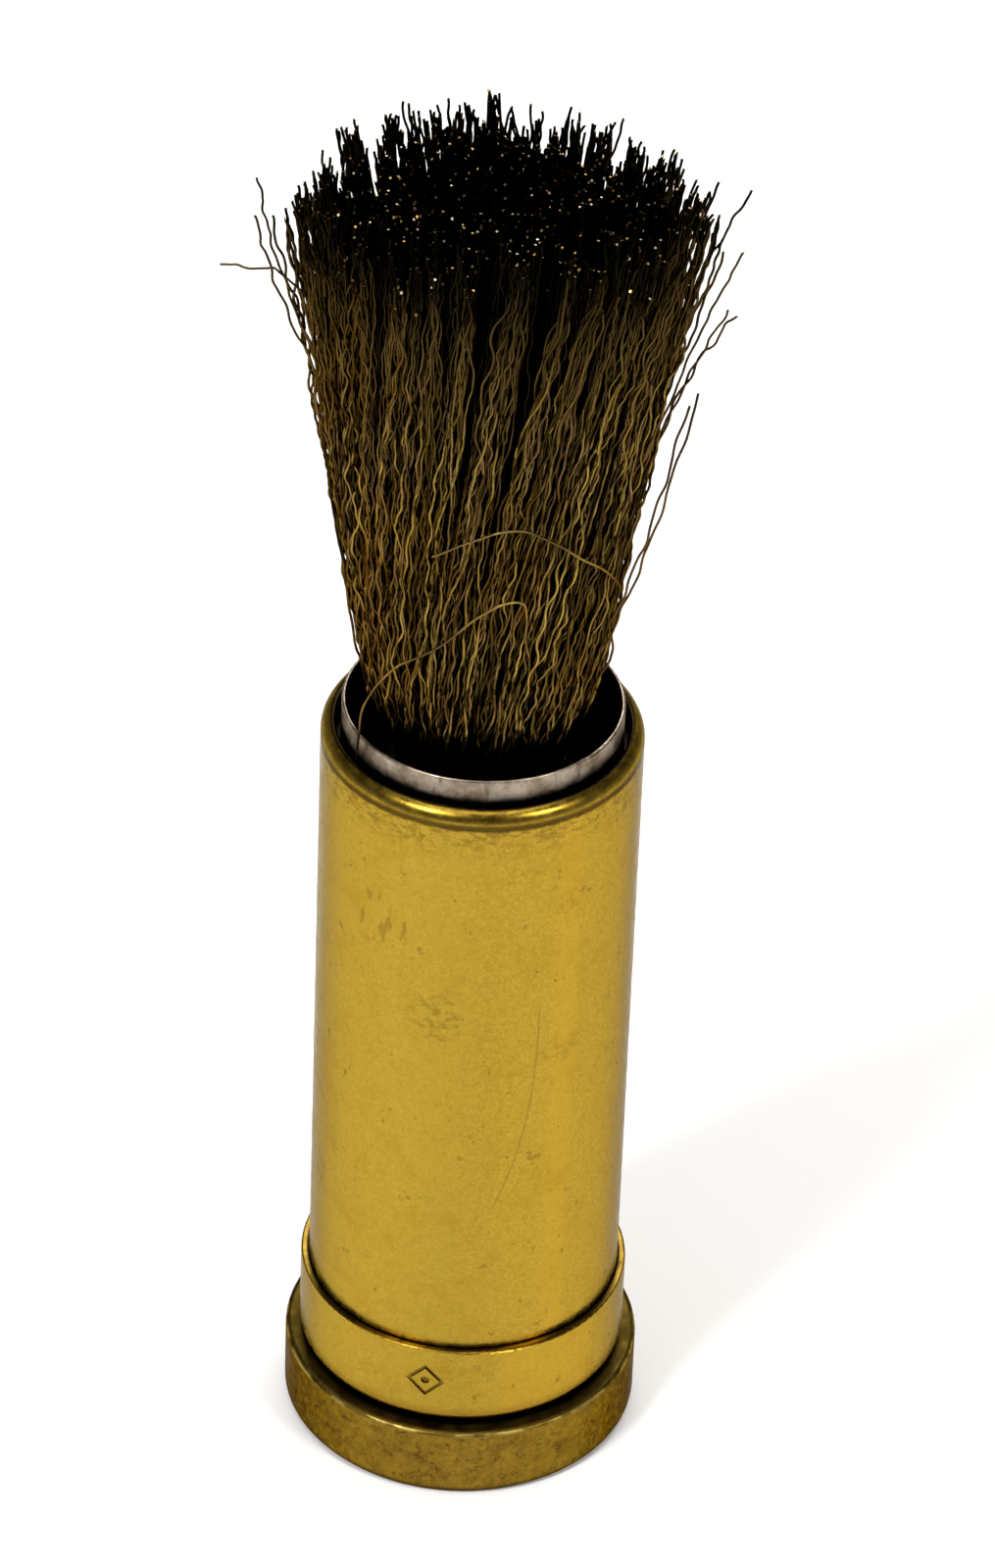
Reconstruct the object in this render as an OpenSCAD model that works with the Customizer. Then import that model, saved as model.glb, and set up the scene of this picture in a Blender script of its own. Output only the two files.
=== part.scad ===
// Twist-up wire brush for cleaning soldering tips.
// A tuft of crimped brass wire rides in a carrier inside a slotted guide tube.
// Turning the foot against the barrel drives the carrier up or down a spiral tube.
// Millimetres, +Z up, origin at the centre of the underside of the foot.

/* [Barrel] */
// Outer diameter of the sleeve that the hand holds
barrel_d = 21; // [20.9:0.05:21.2]
// Sheet thickness of the sleeve
sleeve_wall = 0.4; // [0.35:0.05:0.45]
// Height of the top of the rolled lip above the ground
sleeve_top = 56.25; // [56:0.05:57]
// Outer radius of the rolled lip
lip_r = 1.0; // [0.8:0.05:1.05]
// Outer diameter of the collar that holds the sleeve
collar_d = 22.1; // [22:0.05:22.6]
// Height of the collar's top edge, where a slip-on cap stops
collar_top = 11.8; // [11:0.1:14]

/* [Foot] */
// Outer diameter of the turning foot
foot_d = 24; // [23.8:0.1:26]
// Height of the turning foot
foot_h = 5.35; // [5.35:0.05:5.5]
// Sheet thickness of the foot
foot_wall = 0.6; // [0.5:0.05:0.6]

/* [Guide tube] */
// Outer diameter of the guide tube
guide_d = 18.3; // [18.2:0.02:18.36]
// Sheet thickness of the guide tube
guide_wall = 0.3; // [0.25:0.05:0.3]
// Height of the guide tube's rim above the ground
guide_top = 57.9; // [57.5:0.1:59]

/* [Lift mechanism] */
// Travel of the carrier from fully out to fully in
travel = 40.5; // [30:0.5:40.5]
// Turns of the foot for the whole travel
turns = 1.5; // [1.25:0.25:2]
// Diameter of the follower pins
pin_d = 1.6; // [1.2:0.1:1.6]

/* [Tuft] */
// Diameter of the tuft inside its ferrule
root_d = 10.6; // [10.4:0.1:10.8]
// Diameter of the tuft at its tips
tip_d = 24.8; // [20:0.2:26]
// Height of the tips above the ground, brush fully out
tip_z = 95.8; // [90:0.2:100]
// Rings of wire locks around the middle lock
lock_rings = 4; // [3:1:4]

/* [Hidden] */

$fn = 96;
eps = 0.01;
slip = 0.02;            // gap of a pressed seat
running = 0.07;         // gap of a turning or sliding fit

barrel_r = barrel_d / 2;
sleeve_bore_r = barrel_r - sleeve_wall;
collar_r = collar_d / 2;
foot_r = foot_d / 2;
guide_r = guide_d / 2;
guide_bore_r = guide_r - guide_wall;
pin_r = pin_d / 2;

// heights of the stack inside the foot
rolled_edge = 0.45;     // the foot's lower edge, rolled in under the base plate
plate_t = 0.7;
flange_t = 0.32;
foot_roof = foot_h - foot_wall;
flange_z = foot_roof - flange_t - slip;
plate_z = rolled_edge + slip;
weight_z = plate_z + plate_t + slip;
weight_top = flange_z - slip;
stack_r = foot_r - foot_wall - slip;

// heights around the swivel joint
washer_t = 0.2;
washer_gap = 0.5;       // height that the friction washer fills
swivel_z = foot_h + washer_gap;
swivel_flange_t = 0.65;
clip_t = 0.8;
sleeve_z = swivel_z + 1.85;
seat_step = 0.2;        // depth by which the sleeve is turned down inside the collar
seat_r = barrel_r - seat_step;
seat_top = collar_top + 0.05;
bearing_recess_r = seat_r - 0.45;
lip_curl = 75;          // degrees through which the lip is rolled inwards

// the brush carrier, drawn fully out
carrier_h = 7;
carrier_floor = 1.2;
carrier_r = guide_bore_r - 0.1;
carrier_z = weight_top + 0.2 + travel;
pin_z = carrier_z + carrier_h - 1.5;
ferrule_wall = 0.35;
ferrule_r = root_d / 2 + ferrule_wall;
ferrule_floor = 0.4;
ferrule_z = carrier_z + carrier_floor + slip;
ferrule_top = carrier_z + carrier_h + 2.2;
rivet_r = 1.2;
rivet_head_r = 2.3;
plug_z = ferrule_z + ferrule_floor + 0.9;
plug_top = plug_z + 3.3;

lead = travel / turns;
spiral_top = sleeve_top - 1.65;
slot_h = (pin_d + 0.24) / cos(atan(lead / (2 * PI * guide_r)));

// ---- profiles and sweeps ----

// A rectangle from (x0, z0) to (x1, z1), with rounded outer corners of radius low_r below and high_r above
module soft_edge_rect(x0, z0, x1, z1, low_r, high_r) {
    translate([x0, z0 + low_r]) square([x1 - x0, z1 - z0 - low_r - high_r]);
    translate([x0, z0]) square([x1 - x0 - low_r, low_r + eps]);
    translate([x0, z1 - high_r - eps]) square([x1 - x0 - high_r, high_r + eps]);
    translate([x1 - low_r, z0 + low_r]) circle(r = low_r);
    translate([x1 - high_r, z1 - high_r]) circle(r = high_r);
}

// A ring with plain square edges
module ring(r_in, r_out, z0, z1) {
    difference() {
        translate([0, 0, z0]) cylinder(r = r_out, h = z1 - z0);
        translate([0, 0, z0 - 1]) cylinder(r = r_in, h = z1 - z0 + 2);
    }
}

// The faces of a closed tube of n rings with k points each
function loop_faces(n, k) = [
    for (i = [0:n - 1], j = [0:k - 1])
        [i * k + j, i * k + (j + 1) % k, ((i + 1) % n) * k + (j + 1) % k, ((i + 1) % n) * k + j]
];

// The faces of a tube of n rings with k points each, capped at both ends
function tube_faces(n, k) = concat(
    [[for (j = [k - 1:-1:0]) j]],
    [for (i = [0:n - 2], j = [0:k - 1])
        [i * k + j, i * k + (j + 1) % k, (i + 1) * k + (j + 1) % k, (i + 1) * k + j]],
    [[for (j = [0:k - 1]) (n - 1) * k + j]]
);

function on_circle(r, a, z) = [r * cos(a), r * sin(a), z];

// A slot that climbs with the azimuth, cut through a tube wall; its upper end is centred on azimuth 0 and top_z
module helical_slot(r_in, r_out, top_z) {
    steps = 72;
    overrun = 7;        // degrees by which the slot runs past the pin's centre at each end
    sweep = 360 * turns + 2 * overrun;
    corners = [for (i = [0:steps])
        let (a = overrun - sweep * (1 - i / steps), z = top_z + a * lead / 360)
        each [
            on_circle(r_in, a, z - slot_h / 2), on_circle(r_out, a, z - slot_h / 2),
            on_circle(r_out, a, z + slot_h / 2), on_circle(r_in, a, z + slot_h / 2)
        ]];
    polyhedron(points = corners, faces = tube_faces(steps + 1, 4), convexity = 8);
}

// ---- base: turned by the fingers ----

module foot_shell() {
    color("darkgoldenrod") rotate_extrude() difference() {
        soft_edge_rect(0, 0, foot_r, foot_h, 0.7, 0.4);
        translate([-1, rolled_edge]) square([foot_r - foot_wall + 1, foot_roof - rolled_edge]);
        translate([-1, -1]) square([foot_r - 1.3 + 1, 2]);
        translate([-1, foot_roof - 1]) square([guide_r + slip + 1, 3]);
    }
}

module base_plate() {
    bead_r = foot_r * 0.62;
    color("goldenrod") rotate_extrude() difference() {
        translate([0, plate_z]) square([stack_r, plate_t]);
        translate([bead_r, plate_z - 0.25]) circle(r = 0.5);
    }
}

module base_weight() {
    edge = 0.3;
    color("dimgray") difference() {
        union() {
            translate([0, 0, weight_z]) cylinder(r = stack_r - edge, h = weight_top - weight_z);
            translate([0, 0, weight_z + edge]) cylinder(r = stack_r, h = weight_top - weight_z - 2 * edge);
        }
        translate([0, 0, weight_top - 0.8]) cylinder(r = 1.5, h = 2);
    }
}

module guide_tube() {
    slot_w = pin_d + 0.16;
    slot_low = pin_z - travel - pin_r - 0.1;
    slot_high = pin_z + pin_r + 0.1;
    color("silver") difference() {
        rotate_extrude() {
            translate([guide_bore_r, flange_z]) square([guide_wall, guide_top - guide_wall / 2 - flange_z]);
            translate([guide_r - guide_wall / 2, guide_top - guide_wall / 2]) circle(d = guide_wall);
            translate([guide_bore_r, flange_z]) square([stack_r - guide_bore_r - 0.2, flange_t]);
        }
        translate([-foot_r, -slot_w / 2, slot_low]) cube([foot_d, slot_w, slot_high - slot_low]);
    }
}

// A spring washer of three waves that brakes the swivel
module friction_washer() {
    r_in = guide_r + 0.25;
    r_out = sleeve_bore_r + 0.2;
    wave = (washer_gap - washer_t) / 2 - 0.03;
    steps = 72;
    middle = foot_h + washer_gap / 2;
    corners = [for (i = [0:steps - 1])
        let (a = i * 360 / steps, z = middle + wave * sin(3 * a))
        each [
            on_circle(r_in, a, z - washer_t / 2), on_circle(r_out, a, z - washer_t / 2),
            on_circle(r_out, a, z + washer_t / 2), on_circle(r_in, a, z + washer_t / 2)
        ]];
    color("slategray") polyhedron(points = corners, faces = loop_faces(steps, 4), convexity = 4);
}

// Pressed on the guide tube, it holds the barrel down
module retaining_ring() {
    low = swivel_z + swivel_flange_t + 0.06;
    color("gray") ring(guide_r + slip, bearing_recess_r - 0.15, low, low + clip_t);
}

// ---- barrel: held by the hand ----

module bearing_ring() {
    top = sleeve_z - slip;
    color("goldenrod") difference() {
        ring(guide_r + running, seat_r, swivel_z, top);
        translate([0, 0, swivel_z + swivel_flange_t]) cylinder(r = bearing_recess_r, h = 5);
    }
}

// A generic punch mark: a square stood on its corner around a dot
module punch_mark() {
    size = 1.9;
    line = 0.26;
    rotate([0, 0, 45]) difference() {
        square(size, center = true);
        square(size - 2 * line, center = true);
    }
    circle(d = 0.6);
}

module collar() {
    bore_r = seat_r + slip;
    mark_depth = 0.12;
    mark_azimuth = -101.5;
    mark_z = (swivel_z + collar_top) / 2 + 0.3;
    color("gold") difference() {
        rotate_extrude() difference() {
            soft_edge_rect(0, swivel_z, collar_r, collar_top, 0.4, 0.15);
            translate([-1, swivel_z - 1]) square([bore_r + 1, collar_top]);
            translate([bore_r, collar_top]) rotate(45) square(0.34, center = true);
        }
        rotate([0, 0, mark_azimuth]) translate([collar_r - mark_depth, 0, mark_z])
            rotate([90, 0, 90]) linear_extrude(1) punch_mark();
    }
}

module sleeve() {
    lip_x = barrel_r - lip_r;
    lip_z = sleeve_top - lip_r;
    lip_way = [cos(lip_curl), sin(lip_curl)];
    color("gold") rotate_extrude() {
        translate([sleeve_bore_r, sleeve_z]) square([sleeve_wall - seat_step, seat_top - sleeve_z]);
        translate([sleeve_bore_r, seat_top - eps]) square([sleeve_wall, lip_z - seat_top + eps]);
        translate([lip_x, lip_z]) {
            intersection() {
                difference() {
                    circle(r = lip_r);
                    circle(r = lip_r - sleeve_wall);
                }
                polygon([[0, 0], [2 * lip_r, 0], [2 * lip_r, 2 * lip_r], 2 * lip_r * lip_way]);
            }
            translate((lip_r - sleeve_wall / 2) * lip_way) circle(d = sleeve_wall);
        }
    }
}

module spiral_tube() {
    low = sleeve_z + slip;
    r_out = sleeve_bore_r - slip;
    color("peru") difference() {
        ring(guide_r + running, r_out, low, spiral_top);
        for (start = [0, 180]) rotate([0, 0, start])
            helical_slot(guide_r - 0.3, r_out + 0.4, pin_z);
    }
}

// ---- carrier: rises and sinks in the guide tube ----

module carrier() {
    bore_r = ferrule_r + slip;
    groove_r = carrier_r - 0.25;
    edge = 0.25;
    color("goldenrod") difference() {
        union() {
            translate([0, 0, carrier_z]) cylinder(r = carrier_r - edge, h = carrier_h);
            translate([0, 0, carrier_z + edge]) cylinder(r = carrier_r, h = carrier_h - 2 * edge);
        }
        translate([0, 0, carrier_z + carrier_floor]) cylinder(r = bore_r, h = carrier_h);
        translate([0, 0, carrier_z - 1]) cylinder(r = rivet_r + slip, h = 5);
        translate([0, 0, carrier_z - 1]) cylinder(r = rivet_head_r + slip, h = 1.5);
        ring(groove_r, carrier_r + 1, carrier_z + 2, carrier_z + 2.8);
        translate([-carrier_r - 1, 0, pin_z]) rotate([0, 90, 0])
            cylinder(r = pin_r + eps, h = 2 * carrier_r + 2);
    }
}

// side is -1 for the left pin and 1 for the right one
module follower_pin(side) {
    inner = ferrule_r + 0.1;
    outer = sleeve_bore_r - 0.15;
    color("lightgray") rotate([0, side * 90, 0]) translate([-side * pin_z, 0, inner])
        cylinder(r = pin_r, h = outer - inner);
}

module tuft_ferrule() {
    inner_r = ferrule_r - ferrule_wall;
    crimp_z = ferrule_top - 1.3;
    color("darkslategray") rotate_extrude() difference() {
        union() {
            translate([inner_r, ferrule_z]) square([ferrule_wall, ferrule_top - ferrule_wall / 2 - ferrule_z]);
            translate([ferrule_r - ferrule_wall / 2, ferrule_top - ferrule_wall / 2]) circle(d = ferrule_wall);
            translate([rivet_r + slip, ferrule_z]) square([ferrule_r - rivet_r - slip, ferrule_floor]);
        }
        translate([ferrule_r + 0.3, crimp_z]) circle(r = 0.45);
    }
}

module ferrule_rivet() {
    head_t = 0.6;
    color("gold") union() {
        translate([0, 0, carrier_z]) cylinder(r = rivet_r, h = carrier_floor + ferrule_floor + 0.3);
        translate([0, 0, ferrule_z + ferrule_floor + slip]) cylinder(r = rivet_head_r, h = head_t);
        translate([0, 0, carrier_z + 0.05]) cylinder(r = rivet_head_r, h = 0.45 - slip);
    }
}

// Solder that sets the wires in the ferrule
module root_plug() {
    color("gray") translate([0, 0, plug_z])
        cylinder(r = ferrule_r - ferrule_wall - slip, h = plug_top - plug_z);
}

// Three turns of wire bound round the root of the tuft
module binding_wire() {
    wire_r = 0.26;
    helix_r = root_d / 2 - wire_r - 0.06;
    bound_turns = 3;
    pitch = 0.6;
    steps = 72;
    sides = 8;
    z0 = plug_top + wire_r + 0.1;
    corners = [for (i = [0:steps], j = [0:sides - 1])
        let (a = i * 360 * bound_turns / steps, b = -j * 360 / sides)
        on_circle(helix_r + wire_r * cos(b), a, z0 + pitch * a / 360 + wire_r * sin(b))];
    color("sienna") polyhedron(points = corners, faces = tube_faces(steps + 1, sides), convexity = 8);
}

// One lock of wires, a straight round rod from the plug to its tip
module lock(share, azimuth, tip_height) {
    lock_r = 0.44;
    bound_r = root_d / 2 - 1.5;
    root = [bound_r * share, 0, plug_top + slip];
    tip = [(tip_d / 2 - lock_r) * share, 0, tip_height];
    reach = tip - root;
    rotate([0, 0, azimuth]) translate(root) rotate([0, atan2(reach.x, reach.z), 0])
        translate([0, 0, 0.1]) cylinder(r = lock_r, h = norm(reach) - 0.1, $fn = 24);
}

// Stand-in for the tuft: locks of wire in rings that fan out from the root
module tuft() {
    uneven = 0.9;       // how far the locks' lengths differ
    color("saddlebrown") {
        lock(0, 0, tip_z);
        for (ring_no = [1:lock_rings], i = [0:6 * ring_no - 1]) {
            azimuth = 360 * i / (6 * ring_no) + 15 * ring_no;
            lock(ring_no / lock_rings, azimuth, tip_z + uneven * sin(azimuth * 7 + ring_no * 50));
        }
    }
}

foot_shell();
base_plate();
base_weight();
guide_tube();
friction_washer();
retaining_ring();
bearing_ring();
collar();
sleeve();
spiral_tube();
carrier();
follower_pin(-1);  // follower_pin_left
follower_pin(1);  // follower_pin_right
tuft_ferrule();
ferrule_rivet();
root_plug();
binding_wire();
tuft();
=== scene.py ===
"""Twist-up wire brush for cleaning soldering tips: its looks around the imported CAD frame.

Every length is in metres and every piece lies in the CAD frame. The CAD nodes keep their shapes and get
procedural metals. The tuft's stand-in rods are replaced by crimped wires, each one modelled.
"""

import math

import bpy
import numpy as np
from mathutils import Matrix, Vector


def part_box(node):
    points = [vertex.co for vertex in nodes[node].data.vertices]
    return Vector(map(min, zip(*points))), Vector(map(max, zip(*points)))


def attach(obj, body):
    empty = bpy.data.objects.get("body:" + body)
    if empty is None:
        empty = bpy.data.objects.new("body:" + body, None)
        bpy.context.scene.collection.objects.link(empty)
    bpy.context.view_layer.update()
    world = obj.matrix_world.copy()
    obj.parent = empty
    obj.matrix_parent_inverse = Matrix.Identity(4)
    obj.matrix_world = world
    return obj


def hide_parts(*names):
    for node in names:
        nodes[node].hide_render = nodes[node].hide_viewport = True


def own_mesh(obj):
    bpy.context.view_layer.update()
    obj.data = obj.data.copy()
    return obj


MM = 0.001
TILT = 0.14      # rise of the tips' plane towards the front
GUIDE_BORE_R = 8.85 * MM

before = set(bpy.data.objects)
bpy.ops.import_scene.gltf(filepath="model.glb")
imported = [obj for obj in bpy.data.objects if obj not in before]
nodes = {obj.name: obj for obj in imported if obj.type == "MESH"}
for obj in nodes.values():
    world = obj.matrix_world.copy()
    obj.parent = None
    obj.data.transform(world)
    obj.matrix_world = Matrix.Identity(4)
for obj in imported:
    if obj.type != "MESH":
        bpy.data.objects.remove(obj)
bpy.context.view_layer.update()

# ---- the frame's own measures ----

guide_rim_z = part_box("guide_tube")[1].z
ferrule_top_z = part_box("tuft_ferrule")[1].z
plug_top_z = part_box("root_plug")[1].z
carrier_top_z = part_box("carrier")[1].z
tips_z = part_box("tuft")[1].z - 1.7 * MM      # mean height of the tips; the CAD's longest rod stands above it
sleeve_top_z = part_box("sleeve")[1].z
barrel_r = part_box("sleeve")[1].x
collar_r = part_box("collar")[1].x
collar_top_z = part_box("collar")[1].z
collar_low_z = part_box("collar")[0].z
foot_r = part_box("foot_shell")[1].x
foot_top_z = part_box("foot_shell")[1].z


# ---- camera ----

def add_camera():
    """Looks down on the brush from in front, with a slight roll."""
    pitch = math.radians(36.33)
    roll = math.radians(2.25)
    distance = 467.7 * MM
    look_at = Vector((1.09 * MM, 0, 51.07 * MM))
    data = bpy.data.cameras.new("camera")
    data.sensor_width = 36
    data.lens = 165.3
    data.clip_start = 0.01
    data.clip_end = 20
    camera = bpy.data.objects.new("camera", data)
    turn = Matrix.Rotation(math.pi / 2 - pitch, 3, "X") @ Matrix.Rotation(roll, 3, "Z")
    camera.rotation_euler = turn.to_euler()
    camera.location = look_at + distance * turn.col[2]
    bpy.context.scene.collection.objects.link(camera)
    bpy.context.scene.camera = camera


# ---- node trees ----

class Tree:
    """A node tree with one short call for each kind of node, which takes sockets or plain values."""

    def __init__(self, owner):
        owner.use_nodes = True
        self.graph = owner.node_tree
        self.coords = None

    def node(self, kind, **settings):
        made = self.graph.nodes.new(kind)
        for name, value in settings.items():
            setattr(made, name, value)
        return made

    def feed(self, socket, value):
        if isinstance(value, bpy.types.NodeSocket):
            self.graph.links.new(value, socket)
        else:
            socket.default_value = value

    def place(self):
        """The point's place in the object's own coordinates, in metres."""
        if self.coords is None:
            self.coords = self.node("ShaderNodeTexCoord").outputs["Object"]
        return self.coords

    def stretched(self, x, y, z):
        made = self.node("ShaderNodeVectorMath", operation="MULTIPLY")
        self.feed(made.inputs[0], self.place())
        made.inputs[1].default_value = (x, y, z)
        return made.outputs[0]

    def noise(self, scale, detail=3, roughness=0.55, vector=None):
        made = self.node("ShaderNodeTexNoise")
        self.feed(made.inputs["Vector"], self.place() if vector is None else vector)
        made.inputs["Scale"].default_value = scale
        made.inputs["Detail"].default_value = detail
        made.inputs["Roughness"].default_value = roughness
        return made.outputs["Fac"]

    def math(self, operation, a, b=0.0):
        made = self.node("ShaderNodeMath", operation=operation)
        self.feed(made.inputs[0], a)
        self.feed(made.inputs[1], b)
        return made.outputs[0]

    def remap(self, value, low, high, to_low=0.0, to_high=1.0):
        made = self.node("ShaderNodeMapRange", interpolation_type="SMOOTHSTEP")
        self.feed(made.inputs["Value"], value)
        made.inputs["From Min"].default_value = low
        made.inputs["From Max"].default_value = high
        made.inputs["To Min"].default_value = to_low
        made.inputs["To Max"].default_value = to_high
        return made.outputs["Result"]

    def mix(self, share, a, b):
        made = self.node("ShaderNodeMix", data_type="RGBA")
        self.feed(made.inputs["Factor"], share)
        self.feed(made.inputs["A"], (*a, 1) if isinstance(a, tuple) else a)
        self.feed(made.inputs["B"], (*b, 1) if isinstance(b, tuple) else b)
        return made.outputs["Result"]

    def tinted(self, colour, mask, strength, tone):
        """The colour, turned towards the tone by strength where the mask is 1."""
        return self.mix(self.math("MULTIPLY", mask, strength), colour, tone)

    def part(self, axis, vector=None):
        """One coordinate of the place, or of another vector."""
        split = self.node("ShaderNodeSeparateXYZ")
        self.feed(split.inputs[0], self.place() if vector is None else vector)
        return split.outputs[axis]

    def height(self):
        return self.part("Z")

    def reach(self, direction):
        """How far the place lies along a direction."""
        made = self.node("ShaderNodeVectorMath", operation="DOT_PRODUCT")
        self.feed(made.inputs[0], self.place())
        made.inputs[1].default_value = direction
        return made.outputs["Value"]

    def radius(self, vector=None):
        """Distance from the upright axis."""
        made = self.node("ShaderNodeVectorMath", operation="LENGTH")
        flat_place = self.node("ShaderNodeVectorMath", operation="MULTIPLY")
        self.feed(flat_place.inputs[0], self.place() if vector is None else vector)
        flat_place.inputs[1].default_value = (1, 1, 0)
        self.feed(made.inputs[0], flat_place.outputs[0])
        return made.outputs["Value"]

    def bump(self, height, distance, strength=1.0, under=None):
        made = self.node("ShaderNodeBump")
        self.feed(made.inputs["Height"], height)
        made.inputs["Distance"].default_value = distance
        made.inputs["Strength"].default_value = strength
        if under is not None:
            self.feed(made.inputs["Normal"], under)
        return made.outputs["Normal"]


def new_metal(name, edge_tint):
    """A metal; edge_tint colours and dims what it mirrors at a grazing angle."""
    made = bpy.data.materials.new(name)
    tree = Tree(made)
    shader = tree.graph.nodes["Principled BSDF"]
    shader.inputs["Metallic"].default_value = 1.0
    shader.inputs["Specular Tint"].default_value = (*edge_tint, 1)
    return made, tree, shader


def paint(tree, shader, colour, roughness, normal=None):
    tree.feed(shader.inputs["Base Color"], colour)
    tree.feed(shader.inputs["Roughness"], roughness)
    if normal is not None:
        tree.feed(shader.inputs["Normal"], normal)


# ---- metals ----

# near black for painted shade: in seams, under edges, inside the lip and deep in the barrel
SHADE_BLACK = (0.010, 0.007, 0.003)
REFLECTION_STRIPE_AZIMUTH = math.radians(-55)      # a warm painted reflection down the barrel


def sleeve_metal(name):
    """Golden brass with an even fine grain, small dark nicks and a few smudges, and a warm painted reflection
    down one side.
    """
    made, tree, shader = new_metal(name, (0.56, 0.54, 0.52))
    streaks = tree.remap(tree.noise(140, 2, 0.5, tree.stretched(1, 1, 0.06)), 0.35, 0.65)
    colour = tree.mix(streaks, (0.385, 0.252, 0.026), (0.355, 0.222, 0.021))
    colour = tree.mix(tree.remap(tree.noise(5200, 2, 0.6), 0.35, 0.7), colour, (0.43, 0.285, 0.034))
    # painted reflection: a warm stripe down one side of the barrel
    warm = tree.reach((math.cos(REFLECTION_STRIPE_AZIMUTH), math.sin(REFLECTION_STRIPE_AZIMUTH), 0))
    stripe = tree.remap(warm, barrel_r - 0.07 * MM, barrel_r - 0.01 * MM)
    colour = tree.tinted(colour, stripe, 0.5, (0.455, 0.270, 0.024))
    mottle = tree.remap(tree.noise(380, 5, 0.7), 0.50, 0.66)
    colour = tree.tinted(colour, mottle, 0.35, (0.33, 0.188, 0.015))
    grain = tree.remap(tree.noise(2300, 4, 0.7), 0.50, 0.72)
    colour = tree.tinted(colour, grain, 0.30, (0.20, 0.125, 0.018))
    nicks = tree.remap(tree.noise(700, 3, 0.75, tree.stretched(1, 1, 0.8)), 0.650, 0.70)
    colour = tree.tinted(colour, nicks, 0.50, (0.14, 0.078, 0.010))
    smudges = tree.math(
        "MULTIPLY",
        tree.remap(tree.noise(150, 2), 0.62, 0.72),
        tree.remap(tree.noise(1500, 5, 0.7), 0.46, 0.60),
    )
    colour = tree.tinted(colour, smudges, 0.35, (0.19, 0.115, 0.012))
    return made, tree, shader, colour, nicks


def finish_brass(tree, shader, colour, nicks, low=0.22, high=0.36):
    roughness = tree.remap(tree.noise(900, 4), 0.3, 0.75, low, high)
    ripple = tree.noise(260, 3, 0.5, tree.stretched(1, 1, 0.35))
    normal = tree.bump(ripple, 0.02 * MM, 0.25)
    normal = tree.bump(tree.noise(3200, 4, 0.6), 0.008 * MM, 0.5, normal)
    normal = tree.bump(tree.math("MULTIPLY", nicks, -1.0), 0.02 * MM, 0.7, normal)
    paint(tree, shader, colour, roughness, normal)


def fine_scratch(tree, z):
    """A hair-thin scratch on the sleeve's front, which curves to the left as it runs down."""
    top, low = 41.3 * MM, 22.7 * MM
    start_x, drift = 4.4 * MM, 3.1 * MM
    run = tree.math("DIVIDE", tree.math("SUBTRACT", top, z), top - low)
    bend = tree.math("MULTIPLY", tree.math("POWER", tree.math("ABSOLUTE", run), 2.8), drift)
    offset = tree.math("SUBTRACT", tree.math("ADD", tree.part("X"), bend), start_x)
    line = tree.remap(tree.math("ABSOLUTE", offset), 0.09 * MM, 0.03 * MM)
    within = tree.math("MULTIPLY", tree.remap(run, 0.0, 0.1), tree.remap(run, 1.0, 0.9))
    front = tree.remap(tree.part("Y"), -5 * MM, -6 * MM)
    return tree.math("MULTIPLY", tree.math("MULTIPLY", line, within), front)


def marks(tree, centre, reach, grain):
    """A patch of small marks around a place; grain is the noise that shapes them."""
    away = tree.node("ShaderNodeVectorMath", operation="DISTANCE")
    tree.feed(away.inputs[0], tree.place())
    away.inputs[1].default_value = centre
    return tree.math("MULTIPLY", tree.remap(away.outputs["Value"], reach, 0.45 * reach), grain)


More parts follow.
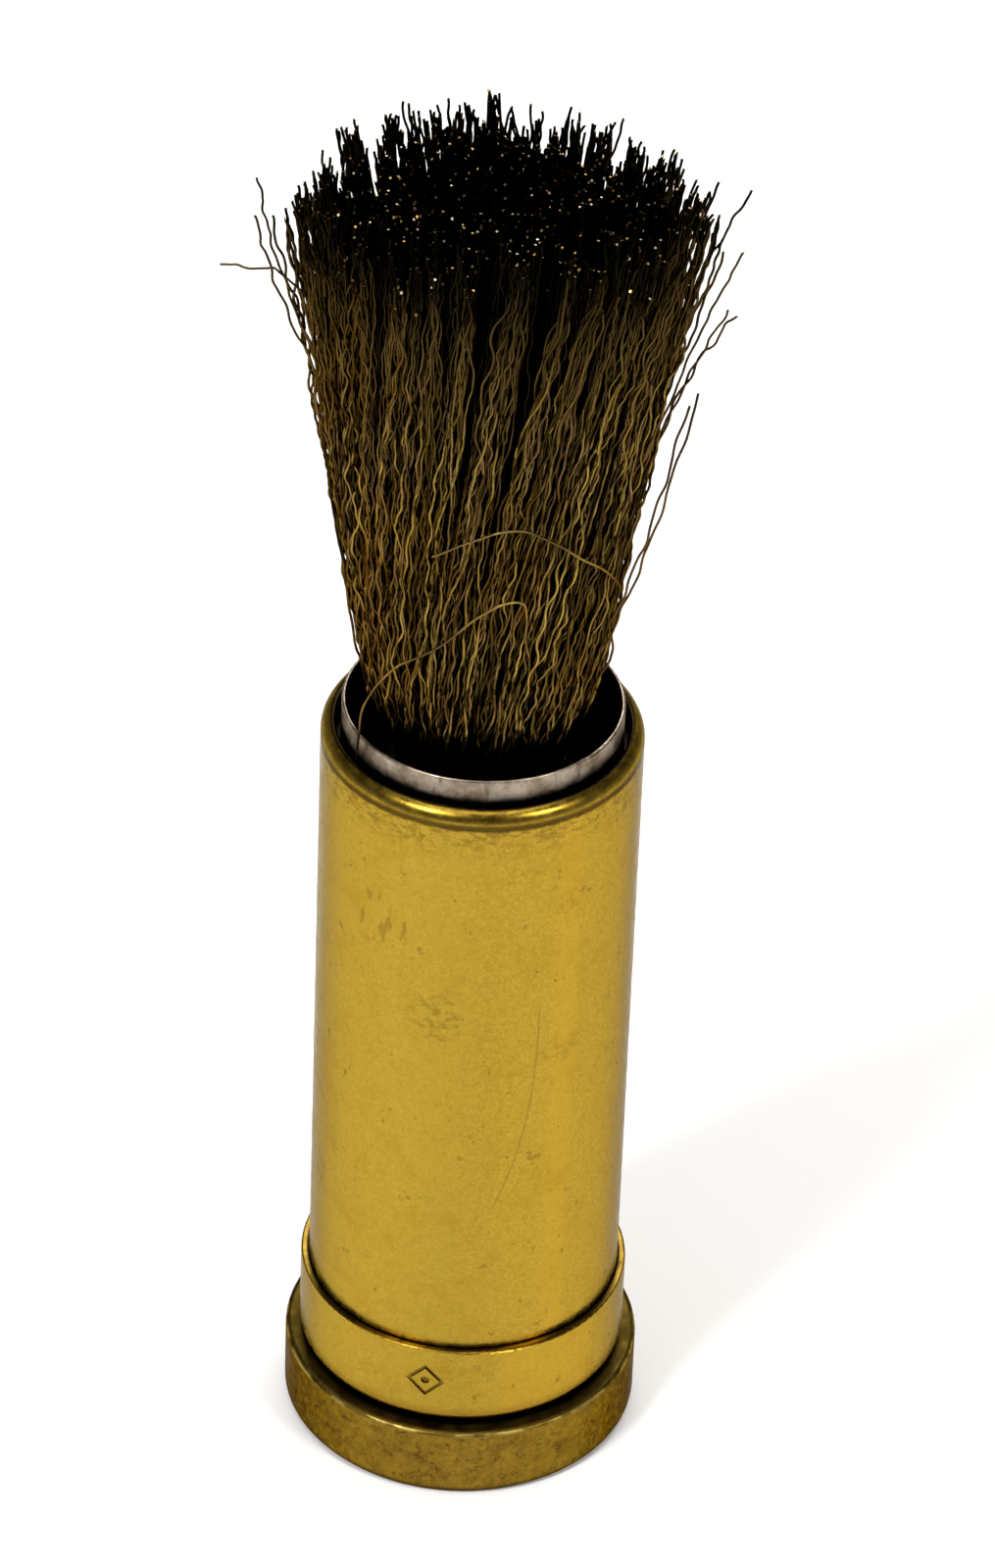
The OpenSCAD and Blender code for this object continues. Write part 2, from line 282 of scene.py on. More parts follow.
def sleeve_brass():
    """The sleeve: tarnished below its lip, with a painted dark reflection round its shoulder, painted shade
    that makes it dark inside, and painted shade where it enters the collar.
    """
    made, tree, shader, colour, nicks = sleeve_metal("sleeve_brass")
    z = tree.height()
    scratch = fine_scratch(tree, z)
    colour = tree.tinted(colour, scratch, 0.4, (0.15, 0.090, 0.012))
    strokes = tree.remap(tree.noise(1700, 5, 0.7, tree.stretched(1, 1, 1.4)), 0.47, 0.60)
    rub = marks(tree, (-2.4 * MM, -10.2 * MM, 39.6 * MM), 2.7 * MM, strokes)
    dents = tree.remap(tree.noise(1300, 3, 0.6, tree.stretched(1, 1, 0.3)), 0.56, 0.62)
    knocks = marks(tree, (-6.1 * MM, -8.5 * MM, 46.5 * MM), 3.4 * MM, dents)
    colour = tree.tinted(colour, tree.math("MAXIMUM", rub, knocks), 0.5, (0.17, 0.100, 0.012))
    stain = tree.math(
        "MULTIPLY",
        tree.remap(z, sleeve_top_z - 4.2 * MM, sleeve_top_z - 1.9 * MM),
        tree.remap(tree.noise(1300, 6, 0.75, tree.stretched(1, 1, 2)), 0.45, 0.60),
    )
    colour = tree.tinted(colour, stain, 0.65, (0.17, 0.098, 0.012))
    # painted dark reflection: a thin dark line round the shoulder below the lip
    rough_z = tree.math("ADD", z, tree.math("MULTIPLY", tree.noise(1200, 3), 0.25 * MM))
    shoulder = tree.math(
        "MULTIPLY",
        tree.remap(rough_z, sleeve_top_z - 1.32 * MM, sleeve_top_z - 1.08 * MM),
        tree.remap(z, sleeve_top_z - 0.72 * MM, sleeve_top_z - 0.98 * MM),
    )
    colour = tree.tinted(colour, shoulder, 0.88, (0.045, 0.026, 0.005))
    lip = tree.math(
        "MULTIPLY",
        tree.remap(z, sleeve_top_z - 1.1 * MM, sleeve_top_z - 0.7 * MM),
        tree.remap(tree.noise(480, 4, 0.6), 0.3, 0.62, 0.35, 1.0),
    )
    colour = tree.tinted(colour, lip, 0.62, (0.15, 0.092, 0.012))
    # painted shade: the inside of the rolled lip and the bore are painted near black
    r = tree.radius()
    inside = tree.remap(r, barrel_r - 0.48 * MM, barrel_r - 0.72 * MM)
    bore = tree.math(
        "MULTIPLY",
        tree.remap(r, barrel_r - 0.28 * MM, barrel_r - 0.38 * MM),
        tree.remap(z, sleeve_top_z - 0.35 * MM, sleeve_top_z - 0.60 * MM),
    )
    colour = tree.mix(tree.math("MAXIMUM", inside, bore), colour, SHADE_BLACK)
    # painted shade in the seam where the sleeve enters the collar
    edge = tree.math("ADD", z, tree.math("MULTIPLY", tree.noise(500, 2), 0.12 * MM))
    seam = tree.remap(edge, collar_top_z + 0.13 * MM, collar_top_z + 0.03 * MM)
    colour = tree.mix(seam, colour, (0.016, 0.010, 0.003))
    finish_brass(tree, shader, colour, nicks)
    return made


def collar_brass():
    """The collar: like the sleeve, with painted shade in its top groove and along its bottom edge, and grime
    in the punch mark.
    """
    made, tree, shader, colour, nicks = sleeve_metal("collar_brass")
    z = tree.height()
    r = tree.radius()
    # painted shade in the top groove, where the sleeve enters the collar
    groove = tree.math(
        "MULTIPLY",
        tree.remap(z, collar_top_z - 0.30 * MM, collar_top_z - 0.12 * MM),
        tree.remap(r, collar_r - 0.32 * MM, collar_r - 0.44 * MM),
    )
    mark = tree.math(
        "MULTIPLY",
        tree.remap(r, collar_r - 0.03 * MM, collar_r - 0.08 * MM),
        tree.remap(z, collar_low_z + 0.9 * MM, collar_low_z + 1.1 * MM),
    )
    # painted shade along the bottom edge, over the gap to the foot
    low_edge = tree.remap(z, collar_low_z + 0.22 * MM, collar_low_z + 0.02 * MM)
    tarnish = tree.math("MULTIPLY", tree.remap(z, collar_low_z + 1.3 * MM, collar_low_z + 0.2 * MM), 0.55)
    colour = tree.mix(tarnish, colour, (0.22, 0.110, 0.010))
    colour = tree.tinted(colour, mark, 0.80, (0.085, 0.050, 0.010))
    colour = tree.mix(tree.math("MAXIMUM", groove, low_edge), colour, SHADE_BLACK)
    finish_brass(tree, shader, colour, nicks)
    return made


def aged_brass():
    """The foot's brass: finely mottled brown patina over gold, with painted shade on its sides, on top and
    under the collar, and a painted highlight along the upper edge.
    """
    made, tree, shader = new_metal("aged_brass", (0.36, 0.33, 0.33))
    clouds = tree.remap(tree.noise(420, 6, 0.72), 0.40, 0.66)
    patina = tree.mix(clouds, (0.250, 0.153, 0.018), (0.150, 0.088, 0.013))
    # painted shade: the foot darker towards its sides than at its front
    shade = tree.remap(tree.reach((0, -1, 0)), 10.5 * MM, 6 * MM, 0.0, 0.60)
    patina = tree.mix(shade, patina, (0.090, 0.056, 0.014))
    specks = tree.remap(tree.noise(2300, 6, 0.85), 0.47, 0.60)
    patina = tree.tinted(patina, specks, 0.70, (0.320, 0.200, 0.022))
    spots = tree.remap(tree.noise(1500, 6, 0.85), 0.52, 0.62)
    patina = tree.tinted(patina, spots, 0.75, (0.060, 0.032, 0.008))
    z = tree.height()
    r = tree.radius()
    # painted shade: the top face darker, and near black under the collar's edge
    top = tree.remap(z, foot_top_z - 0.30 * MM, foot_top_z - 0.05 * MM)
    patina = tree.tinted(patina, top, 0.88, (0.050, 0.034, 0.007))
    recess = tree.remap(r, foot_r - 0.90 * MM, foot_r - 1.25 * MM)
    patina = tree.mix(tree.math("MULTIPLY", recess, top), patina, SHADE_BLACK)
    below = tree.remap(z, 0.9 * MM, 0.15 * MM)
    patina = tree.tinted(patina, below, 0.70, (0.045, 0.026, 0.008))
    # painted highlight: a broken bright line along the top's outer rounding
    edge = tree.math(
        "MULTIPLY",
        tree.remap(z, foot_top_z - 0.34 * MM, foot_top_z - 0.22 * MM),
        tree.remap(z, foot_top_z - 0.04 * MM, foot_top_z - 0.14 * MM),
    )
    edge = tree.math("MULTIPLY", edge, tree.remap(tree.noise(420, 3), 0.46, 0.60))
    colour = tree.mix(tree.math("MULTIPLY", edge, 0.9), patina, (0.42, 0.30, 0.070))
    roughness = tree.remap(tree.noise(700, 5), 0.3, 0.7, 0.32, 0.55)
    normal = tree.bump(tree.noise(1300, 6, 0.75), 0.035 * MM, 0.7)
    paint(tree, shader, colour, roughness, normal)
    return made


def plated_brass():
    """The guide tube's dulled nickel plate: a pale band at its rim, and painted shade, near black, inside and
    below.
    """
    made, tree, shader = new_metal("plated_brass", (0.6, 0.55, 0.5))
    z = tree.height()
    clouds = tree.remap(tree.noise(450, 5, 0.65), 0.38, 0.64)
    colour = tree.mix(clouds, (0.375, 0.315, 0.245), (0.17, 0.125, 0.080))
    streaks = tree.remap(tree.noise(900, 5, 0.7, tree.stretched(1, 1, 0.35)), 0.52, 0.66)
    colour = tree.tinted(colour, streaks, 0.65, (0.09, 0.058, 0.038))
    # painted shade: near black everywhere but the band on the rim's outside
    edge = tree.math("ADD", z, tree.math("MULTIPLY", tree.noise(650, 4), 0.5 * MM))
    band = tree.remap(edge, guide_rim_z - 1.45 * MM, guide_rim_z - 1.05 * MM)
    outside = tree.remap(tree.radius(), GUIDE_BORE_R + 0.09 * MM, GUIDE_BORE_R + 0.15 * MM)
    colour = tree.mix(tree.math("MULTIPLY", band, outside), (0.008, 0.007, 0.006), colour)
    roughness = tree.remap(tree.noise(1500, 4), 0.3, 0.7, 0.28, 0.45)
    drawn = tree.noise(2200, 4, 0.6, tree.stretched(1, 1, 0.2))
    normal = tree.bump(drawn, 0.012 * MM, 0.5)
    paint(tree, shader, colour, roughness, normal)
    return made


def hidden_metal(name, light, dark, roughness, black_from=None):
    """Turned or rolled metal for the pieces inside: two tones, with fine rings from the tool.

    black_from is the height above which it is painted near black, as shade deep in the barrel.
    """
    made, tree, shader = new_metal(name, (0.7, 0.7, 0.7))
    colour = tree.mix(tree.remap(tree.noise(350, 5), 0.35, 0.65), light, dark)
    if black_from is not None:
        colour = tree.mix(tree.remap(tree.height(), black_from - 0.3 * MM, black_from), colour, SHADE_BLACK)
    rings = tree.noise(1, 3, 0.5, tree.stretched(40, 40, 6000))
    normal = tree.bump(rings, 0.008 * MM, 0.5)
    gloss = tree.remap(tree.noise(900, 4), 0.3, 0.7, roughness - 0.06, roughness + 0.1)
    paint(tree, shader, colour, gloss, normal)
    return made


def wire_metal():
    """Crimped brass wire: golden olive, black at the root and towards the sooty tips, and painted shade that
    darkens it deep in the bundle.

    Each wire has its own shade, and its cut end glints.
    """
    made, tree, shader = new_metal("wire_brass", (0.30, 0.21, 0.11))
    geometry = tree.node("ShaderNodeNewGeometry")
    wire = geometry.outputs["Random Per Island"]
    z = tree.height()
    above_rim = tree.math("SUBTRACT", z, guide_rim_z)
    drift = tree.node("ShaderNodeCombineXYZ")      # the bundle's lean
    tree.feed(drift.inputs["Y"], tree.math("MULTIPLY", above_rim, 0.045))
    upright = tree.node("ShaderNodeVectorMath", operation="SUBTRACT")
    tree.feed(upright.inputs[0], tree.place())
    tree.feed(upright.inputs[1], drift.outputs[0])
    # painted shade: wires darken the deeper they lie in the bundle, less so high up
    bundle = tree.math("ADD", tree.math("MULTIPLY", above_rim, 0.166), 7.30 * MM)
    share = tree.math("DIVIDE", tree.radius(upright.outputs[0]), bundle)
    fringe = tree.remap(above_rim, 15 * MM, 30 * MM, 0.0, 0.09)
    depth = tree.remap(tree.math("ADD", share, fringe), 0.88, 1.0)

    bright = tree.remap(wire, 0.35, 0.95)
    gold = tree.mix(bright, (0.036, 0.023, 0.006), (0.37, 0.250, 0.060))
    kind = tree.math("FRACT", tree.math("MULTIPLY", wire, 23))
    gold = tree.tinted(gold, tree.remap(kind, 0.60, 0.75), 0.5, (0.22, 0.125, 0.060))
    warmth = tree.math("MULTIPLY", tree.remap(tree.noise(90, 2), 0.45, 0.62), 0.4)
    gold = tree.mix(warmth, gold, (0.20, 0.105, 0.018))
    own_place = tree.node("ShaderNodeVectorMath", operation="ADD")
    tree.feed(own_place.inputs[0], tree.place())
    tree.feed(own_place.inputs[1], wire)
    patches = tree.remap(tree.noise(330, 4, 0.55, own_place.outputs[0]), 0.44, 0.66)
    gold = tree.mix(patches, gold, (0.036, 0.022, 0.007))
    gold = tree.mix(depth, (0.006, 0.004, 0.002), gold)
    level = tree.math("ADD", z, tree.math("MULTIPLY", tree.part("Y"), TILT))
    level = tree.math("ADD", level, tree.math("MULTIPLY", tree.math("SUBTRACT", wire, 0.5), 5 * MM))
    # painted shade also darkens the soot deep in the bundle
    soot = tree.mix(depth, (0.008, 0.006, 0.004), (0.070, 0.045, 0.014))
    colour = tree.mix(tree.remap(level, tips_z - 15 * MM, tips_z - 3 * MM, 0.0, 0.85), gold, soot)
    colour = tree.mix(tree.remap(level, tips_z - 5 * MM, tips_z - 0.2 * MM), colour, (0.009, 0.007, 0.004))

    facing = tree.part("Z", geometry.outputs["True Normal"])
    cut = tree.math("MULTIPLY", tree.remap(facing, 0.60, 0.66), tree.remap(wire, 0.45, 0.95))
    cut = tree.math("MULTIPLY", cut, tree.remap(z, tips_z - 8 * MM, tips_z - 7 * MM))
    pale = tree.remap(tree.noise(1600, 1), 0.42, 0.58)
    glint = tree.mix(pale, (0.36, 0.21, 0.055), (0.40, 0.35, 0.26))
    colour = tree.mix(cut, colour, glint)

    start = tree.math("ADD", z, tree.math("MULTIPLY", tree.math("SUBTRACT", wire, 0.5), 2.4 * MM))
    root_black = (0.004, 0.003, 0.002)
    colour = tree.mix(tree.remap(start, guide_rim_z + 0.4 * MM, guide_rim_z + 1.4 * MM), root_black, colour)
    roughness = tree.remap(tree.noise(2500, 3), 0.3, 0.7, 0.26, 0.42)
    paint(tree, shader, colour, roughness, tree.bump(tree.noise(6000, 3), 0.006 * MM, 0.4))
    return made


def clean_wire_metal():
    """The two wires that lie across the tuft: brighter than the rest."""
    made, tree, shader = new_metal("clean_wire", (0.30, 0.21, 0.11))
    patches = tree.remap(tree.noise(260, 3), 0.40, 0.62)
    colour = tree.mix(patches, (0.30, 0.195, 0.060), (0.12, 0.078, 0.030))
    below = tree.remap(tree.height(), guide_rim_z + 2.5 * MM, guide_rim_z + 0.5 * MM)
    colour = tree.mix(below, colour, (0.030, 0.020, 0.012))
    roughness = tree.remap(tree.noise(2500, 3), 0.3, 0.7, 0.30, 0.44)
    paint(tree, shader, colour, roughness, tree.bump(tree.noise(6000, 3), 0.006 * MM, 0.4))
    return made


# ---- meshes ----

def add_piece(name, points, quads, ends, metal, body="carrier", flat_quads=None):
    """A mesh piece from arrays: quads is n x 4 and smooth, ends is n x k and flat, one polygon for each row.

    flat_quads are further flat ends of four corners.
    """
    on_rim = np.zeros(len(points), bool)
    on_rim[ends.ravel()] = True
    smooth = np.concatenate([np.ones(len(quads), bool), np.zeros(len(ends), bool)])
    if flat_quads is not None:
        smooth = np.insert(smooth, len(quads), np.zeros(len(flat_quads), bool))
        on_rim[flat_quads.ravel()] = True
        quads = np.concatenate([quads, flat_quads])
    mesh = bpy.data.meshes.new(name)
    k = ends.shape[1]
    loops = np.concatenate([quads.ravel(), ends.ravel()])
    starts = np.concatenate([np.arange(len(quads)) * 4, 4 * len(quads) + np.arange(len(ends)) * k])
    totals = np.concatenate([np.full(len(quads), 4), np.full(len(ends), k)])
    mesh.vertices.add(len(points))
    mesh.vertices.foreach_set("co", points.astype(np.float32).ravel())
    mesh.loops.add(len(loops))
    mesh.loops.foreach_set("vertex_index", loops.astype(np.int32))
    mesh.polygons.add(len(starts))
    mesh.polygons.foreach_set("loop_start", starts.astype(np.int32))
    mesh.polygons.foreach_set("loop_total", totals.astype(np.int32))
    mesh.polygons.foreach_set("use_smooth", smooth)
    mesh.update(calc_edges=True)
    mesh.validate()
    edges = np.empty(2 * len(mesh.edges), np.int32)
    mesh.edges.foreach_get("vertices", edges)
    sharp = mesh.attributes.new("sharp_edge", "BOOLEAN", "EDGE")
    sharp.data.foreach_set("value", on_rim[edges.reshape(-1, 2)].all(axis=1))
    mesh.materials.append(metal)
    made = bpy.data.objects.new(name, mesh)
    bpy.context.scene.collection.objects.link(made)
    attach(made, body)
    return made


def unit(v):
    return v / np.linalg.norm(v, axis=-1, keepdims=True)


def wires(paths, radius, sides, rng):
    """Round wires along paths (wires x samples x 3): their points, side quads and end polygons.

    The upper cuts slant at random.
    """
    count, samples, _ = paths.shape
    along = unit(np.gradient(paths, axis=1))
    across = np.empty_like(along)
    across[:, 0] = unit(np.cross(along[:, 0], (0.0, 1.0, 0.0)))
    for i in range(1, samples):
        lean = across[:, i - 1]
        lean = lean - np.sum(lean * along[:, i], -1, keepdims=True) * along[:, i]
        across[:, i] = unit(lean)
    third = np.cross(along, across)
    angle = np.arange(sides) * 2 * np.pi / sides
    cosine, sine = (wave(angle)[None, None, :, None] for wave in (np.cos, np.sin))
    points = paths[:, :, None] + radius * (cosine * across[:, :, None] + sine * third[:, :, None])
    slant = rng.uniform(0, 2 * np.pi, count)[:, None]
    slope = rng.uniform(0, 0.9, count)[:, None]
    points[:, -1] += (radius * slope * np.cos(angle[None] - slant))[..., None] * along[:, -1][:, None]
    base = (np.arange(count) * samples * sides)[:, None, None]
    row = (np.arange(samples - 1) * sides)[None, :, None]
    a = base + row + np.arange(sides)[None, None]
    b = base + row + (np.arange(sides)[None, None] + 1) % sides
    quads = np.stack([a, b, b + sides, a + sides], -1).reshape(-1, 4)
    start = base[:, 0] + np.arange(sides)[None, ::-1]
    end = base[:, 0] + (samples - 1) * sides + np.arange(sides)[None]
    return points.reshape(-1, 3), quads, np.concatenate([start, end])


# ---- the tuft ----

WIRE_R = 0.095 * MM
ROOT_R = 5.0 * MM        # bundle's radius in the ferrule
BULGE = 1.5 * MM         # how far it swells just above the ferrule
FAN = 6.5 * MM           # how far it fans out from there to the tips
BELLY = 0.6 * MM         # convexity of the fan
LEAN = 2.0 * MM          # how far the tips lean back
SIDE_BOW = 0.3 * MM      # how far it bows to the left halfway up
TWIST = 0.5              # how far the bundle turns from its root to its tips, in radians
CRIMP = 3.4 * MM         # length of one wave of the wire
CRIMP_DEPTH = 0.12 * MM
NIP = 1.25 * MM          # length of one fine nip between the waves
NIP_DEPTH = 0.035 * MM
SECTORS = 16             # pieces that the tuft is cut into
CORE = 0.81              # share of the bundle's radius inside which a wire hardly shows
LOCKS = 300              # tips that the wires gather in
OUTER_WIRES = 900        # crimped along their whole length
INNER_WIRES = 1400       # plain up to just below the tips


def sunflower(count, low=0.0):
    """Evenly spread places in a ring from low to 1, as (share of the radius, azimuth)."""
    i = np.arange(count) + 0.5
    return np.sqrt(low ** 2 + (1 - low ** 2) * i / count), i * math.pi * (3 - math.sqrt(5))


def flat(share, azimuth):
    return np.stack([share * np.cos(azimuth), share * np.sin(azimuth)], -1)


def bundle_radius(t):
    """The bundle's radius at share t of the way from the ferrule to the tips."""
    return ROOT_R + BULGE * (1 - np.exp(-t / 0.06)) + FAN * t + BELLY * t * (1 - t)


def tuft_paths(places, samples, rng, crimped_from):
    """The wires' centre lines, from the solder plug to the tips.

    places are shares of the bundle's radius in x and y. Towards the tips the wires gather in locks.
    """
    count = len(places)
    draw = np.random.default_rng(11)
    lock_places = flat(*sunflower(LOCKS)) + draw.normal(0, 0.013, (LOCKS, 2))
    lock_lift = np.clip(draw.normal(0, 0.80, LOCKS), -1.5, 0.8) * MM
    lock_lean = draw.normal(0, 0.40 * MM, (LOCKS, 2))
    gaps = np.linalg.norm(places[:, None] - lock_places[None], axis=-1)
    lock = gaps.argmin(1)
    share = np.linalg.norm(places, axis=1)
    outward = places / np.maximum(share, 1e-6)[:, None]

    tip_z = tips_z + 1.0 * MM - TILT * places[:, 1] * bundle_radius(1.0) + lock_lift[lock]
    short = np.abs(rng.normal(0, 1.40 * MM, count))
    tip_z -= short + 12 * MM * gaps.min(1) + 1.3 * MM * places[:, 0] ** 2
    rise = np.concatenate([[0.0, 0.06], np.linspace(0.11, 1, samples - 2)])
    start_z = plug_top_z - 0.2 * MM
    z = start_z + (tip_z[:, None] - start_z) * rise[None]
    t = np.clip((z - ferrule_top_z) / (tips_z - ferrule_top_z), 0, 1.1)

    pull = 0.85 * np.clip((t - 0.12) / 0.88, 0, 1) ** 3
    place = places[:, None] + (lock_places[lock] - places)[:, None] * pull[..., None]
    line = place * bundle_radius(t)[..., None]
    twist = -TWIST * (1 - np.clip(t, 0, 1)) ** 1.4
    line = np.stack([
        line[..., 0] * np.cos(twist) - line[..., 1] * np.sin(twist),
        line[..., 0] * np.sin(twist) + line[..., 1] * np.cos(twist),
    ], -1)
    line = line + lock_lean[lock][:, None] * (t ** 3)[..., None]
    line[..., 0] -= SIDE_BOW * 4 * t * (1 - t)
    line[..., 1] += LEAN * t ** 1.6
    stray = rng.exponential(0.45 * MM, count) * np.clip((share - 0.86) / 0.12, 0, 1)
    line = line + outward[:, None] * (stray[:, None] * t ** 5)[..., None]

    wander = np.zeros((count, samples, 2))
    for waves, size in ((1.2, 0.36), (2.7, 0.24), (5.5, 0.13)):
        phase = rng.uniform(0, 2 * np.pi, (count, 1, 2))
        pace = waves * rng.uniform(0.7, 1.3, (count, 1, 2))
        share_of_size = np.clip(rng.normal(0, 0.75, (count, 1, 2)), -1.1, 1.1)
        wander += size * MM * np.sin(2 * np.pi * pace * t[..., None] + phase) * share_of_size
    line = line + wander * np.clip(t * 6, 0, 1)[..., None]

    crimped = np.clip((z - crimped_from) / (2 * MM), 0, 1)[..., None]
    for length, deep in ((CRIMP, CRIMP_DEPTH), (NIP, NIP_DEPTH)):
        way = rng.uniform(0, 2 * np.pi, count)
        depth = deep * rng.uniform(0.4, 1.6, count)
        wave = length * rng.uniform(0.8, 1.25, count)
        turn = 2 * np.pi * z / wave[:, None] + rng.uniform(0, 2 * np.pi, count)[:, None]
        swing = depth[:, None] * np.sin(turn)
        line = line + crimped * swing[..., None] * np.stack([np.cos(way), np.sin(way)], -1)[:, None]
    return np.concatenate([line, z[..., None]], -1)


def add_tuft(metal):
    """The tuft in sectors, each a piece of its own on the carrier."""
    rng = np.random.default_rng(7)
    rows = []
    for count, low, high, samples, sides, crimped_from in (
        (OUTER_WIRES, CORE, 1.0, 180, 5, ferrule_top_z),
        (INNER_WIRES, 0.0, CORE, 40, 4, tips_z - 16 * MM),
    ):
        share, azimuth = sunflower(count, low / high)
        places = flat(share * high, azimuth) + rng.normal(0, 0.012, (count, 2))
        rows.append((places, tuft_paths(places, samples, rng, crimped_from), sides))
    for sector in range(SECTORS):
        meshes = []
        for places, paths, sides in rows:
            azimuth = np.arctan2(places[:, 1], places[:, 0]) % (2 * math.pi)
            mine = (azimuth * SECTORS / (2 * math.pi)).astype(int) == sector
            meshes.append(wires(paths[mine], WIRE_R, sides, rng))
        # the inner wires have four sides, so their ends go in with the quads
        (points, quads, ends), (inner_points, inner_quads, inner_ends) = meshes
        shift = len(points)
        piece = add_piece(
            f"tuft_wires_{sector + 1}",
            np.concatenate([points, inner_points]),
            np.concatenate([quads, inner_quads + shift]),
            ends,
            metal,
            flat_quads=inner_ends + shift,
        )
        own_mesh(piece)
        if sector == 0:
            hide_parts("tuft")


# Loose wires, each by a few stations: azimuth in degrees, height above the guide tube's rim in mm, and how
# far the wire stands clear of the tuft's surface in mm
LOOSE_WIRES = {
    "across_high": ((-10, 6, -1), (-35, 13, 1), (-78, 20, 1), (-107, 17.5, 0.7)),
    "across_low": ((-148, -2, 3.4), (-136, 5, 1.5), (-108, 10, 1), (-79, 14.5, 1), (-70, 9, 0)),
    "left_level": ((189, 22, -0.5), (188, 31, 0.5), (187, 32.5, 5)),
    "left_hook": ((186, 24, -0.5), (186, 33, 1.5), (185, 38, 2)),
    "left_tip": ((186, 23, -0.5), (186, 30, 1.5), (186, 35.5, 2.5)),
    "right_tip": ((-18, 27, 0), (-14, 34, 0.5), (-5, 38.5, 2)),
    "right_fork_high": ((-10, 18, -0.5), (-7, 28, 1), (-7, 34.5, 2.5)),
    "right_fork_low": ((-8, 17, -0.5), (-6, 25, 1), (-7, 30.5, 2.5)),
    "right_fork_side": ((-10, 17, -0.5), (-6, 25, 1), (-6, 30, 3)),
    "right_slack": ((-24, 6.5, 0), (-15, 14.5, 1), (-7, 23.5, 1.5)),
    "right_slack_twin": ((-21, 5.5, 0), (-15, 13.5, 1.2), (-8, 24.5, 2)),
}
LOOSE_R = 0.085 * MM
LOOSE_SAMPLES = 60


def smooth_line(points, samples):
    """A Catmull-Rom curve through the points."""
    points = np.array(points, float)
    ends = np.concatenate([[2 * points[0] - points[1]], points, [2 * points[-1] - points[-2]]])
    at = np.linspace(0, len(points) - 1 - 1e-6, samples)
    i = at.astype(int)
    u = (at - i)[:, None]
    a, b, c, d = (ends[i + k] for k in range(4))
    return b + 0.5 * u * (c - a + u * (2 * a - 5 * b + 4 * c - d + u * (3 * (b - c) + d - a)))


def beside_tuft(stations):
    """The points at stations (azimuth, height above the rim, distance from the tuft's surface)."""
    azimuth = np.radians(stations[:, 0])
    z = guide_rim_z + stations[:, 1] * MM
    t = (z - ferrule_top_z) / (tips_z - ferrule_top_z)
    r = bundle_radius(t) + stations[:, 2] * MM
    x = r * np.cos(azimuth) - SIDE_BOW * 4 * t * (1 - t)
    y = r * np.sin(azimuth) + LEAN * t ** 1.6
    return np.stack([x, y, z], -1)


def add_loose_wires(metal, clean_metal):
    """The wires that stray from the tuft, each its own piece.

    The two that lie across the tuft have the cleaner metal.
    """
    rng = np.random.default_rng(5)
    for name, stations in LOOSE_WIRES.items():
        line = beside_tuft(smooth_line(stations, LOOSE_SAMPLES))
        along = np.linspace(0, 1, LOOSE_SAMPLES)
        for waves, size in ((4, 0.09), (9, 0.025)):
            phase = rng.uniform(0, 2 * np.pi, 3)
            line = line + size * MM * np.sin(2 * np.pi * waves * along[:, None] + phase)
        points, quads, ends = wires(line[None], LOOSE_R, 6, rng)
        coat = clean_metal if name.startswith("across") else metal
        piece = add_piece(f"loose_wire_{name}", points, quads, ends, coat)
        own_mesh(piece)


# ---- stage ----

def add_floor():
    """A plain pale round floor under the foot."""
    radius = 0.52
    sides = 128
    mesh = bpy.data.meshes.new("floor")
    angles = [math.tau * i / sides for i in range(sides)]
    rim = [(radius * math.cos(angle), radius * math.sin(angle), 0) for angle in angles]
    mesh.from_pydata(rim, [], [range(sides)])
    made = bpy.data.objects.new("floor", mesh)
    bpy.context.scene.collection.objects.link(made)
    paper = bpy.data.materials.new("floor_paper")
    tree = Tree(paper)
    shader = tree.graph.nodes["Principled BSDF"]
    tone = tree.mix(tree.noise(3, 2), (0.86, 0.86, 0.86), (0.83, 0.83, 0.83))
    tree.feed(shader.inputs["Base Color"], tone)
    shader.inputs["Roughness"].default_value = 0.9
    mesh.materials.append(paper)


def add_panel(name, place, size, power, tint=(1, 1, 1)):
    """A soft square light that faces the brush's middle."""
    data = bpy.data.lights.new(name, "AREA")
    data.shape = "RECTANGLE"
    data.size, data.size_y = size
    data.energy = power
    data.color = tint
    made = bpy.data.objects.new(name, data)
    made.location = place
    aim = Vector((0, 0, 0.05)) - Vector(place)
    made.rotation_euler = aim.to_track_quat("-Z", "Y").to_euler()
    bpy.context.scene.collection.objects.link(made)


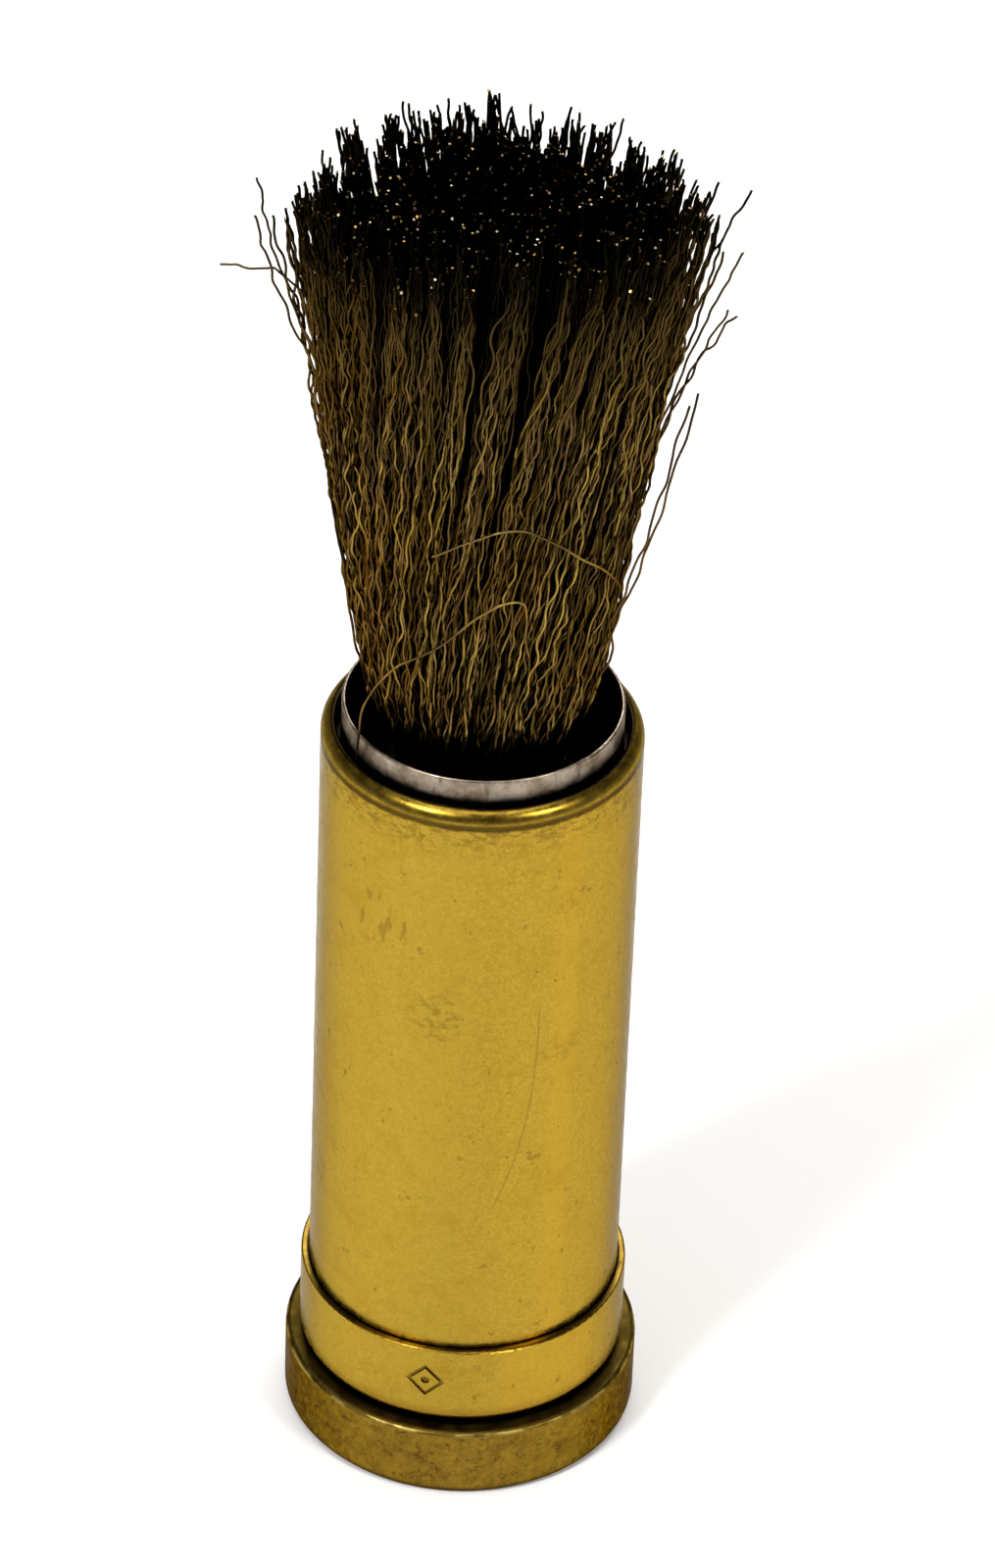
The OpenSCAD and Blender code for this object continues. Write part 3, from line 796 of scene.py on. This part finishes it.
def add_light():
    """Soft studio light: a room that is pale at the horizon and dim overhead, and four panels."""
    scene = bpy.context.scene
    world = bpy.data.worlds.new("studio")
    scene.world = world
    tree = Tree(world)
    background = tree.graph.nodes["Background"]
    direction = tree.node("ShaderNodeTexCoord").outputs["Generated"]
    rise = tree.remap(tree.part("Z", direction), 0.05, 0.45)
    room = tree.mix(rise, (0.38, 0.38, 0.38), (0.08, 0.08, 0.08))
    seen = tree.node("ShaderNodeLightPath").outputs["Is Camera Ray"]
    tree.feed(background.inputs["Color"], tree.mix(seen, room, (1.0, 1.0, 1.0)))
    background.inputs["Strength"].default_value = 1.0
    add_panel("key", (-0.50, -0.55, 0.90), (0.24, 0.24), 9)
    add_panel("fill", (0.60, -0.50, 0.75), (0.25, 0.30), 5.2, (1.0, 0.96, 0.90))
    add_panel("back", (0.10, 0.85, 0.75), (0.8, 0.3), 6)
    add_panel("top", (0.0, 0.0, 1.4), (1.0, 1.0), 10.5)
    scene.view_settings.view_transform = "Standard"


def dress_nodes():
    """Gives each CAD node its metal."""
    brass = (0.55, 0.37, 0.08), (0.40, 0.25, 0.05)
    turned = hidden_metal("turned_brass", *brass, 0.28)
    # painted shade: the carrier and ferrule near black above the carrier's top, the spiral tube near black
    # over its top 4 mm
    bore_shaded = hidden_metal("bore_shaded_brass", *brass, 0.30, carrier_top_z - 0.2 * MM)
    spiral = hidden_metal("spiral_brass", *brass, 0.28, sleeve_top_z - 4 * MM)
    zinc = hidden_metal("zinc_plate", (0.36, 0.37, 0.38), (0.22, 0.23, 0.24), 0.42)
    spring = hidden_metal("spring_steel", (0.06, 0.06, 0.07), (0.03, 0.03, 0.035), 0.38)
    bright = hidden_metal("bright_steel", (0.60, 0.60, 0.61), (0.45, 0.45, 0.46), 0.20)
    solder = hidden_metal("solder", (0.48, 0.48, 0.48), (0.30, 0.30, 0.30), 0.45)
    iron = hidden_metal("binding_iron", (0.10, 0.075, 0.055), (0.05, 0.035, 0.025), 0.55)
    aged = aged_brass()
    dress = {
        "sleeve": sleeve_brass(),
        "collar": collar_brass(),
        "foot_shell": aged,
        "base_plate": aged,
        "tuft_ferrule": bore_shaded,
        "guide_tube": plated_brass(),
        "base_weight": zinc,
        "friction_washer": spring,
        "retaining_ring": spring,
        "bearing_ring": turned,
        "spiral_tube": spiral,
        "carrier": bore_shaded,
        "ferrule_rivet": turned,
        "follower_pin_left": bright,
        "follower_pin_right": bright,
        "root_plug": solder,
        "binding_wire": iron,
        "tuft": wire_metal(),
    }
    for name, metal in dress.items():
        slots = nodes[name].data.materials
        slots.clear()
        slots.append(metal)
    return dress


add_camera()
add_floor()
add_light()
dress = dress_nodes()
add_tuft(dress["tuft"])
add_loose_wires(dress["tuft"], clean_wire_metal())
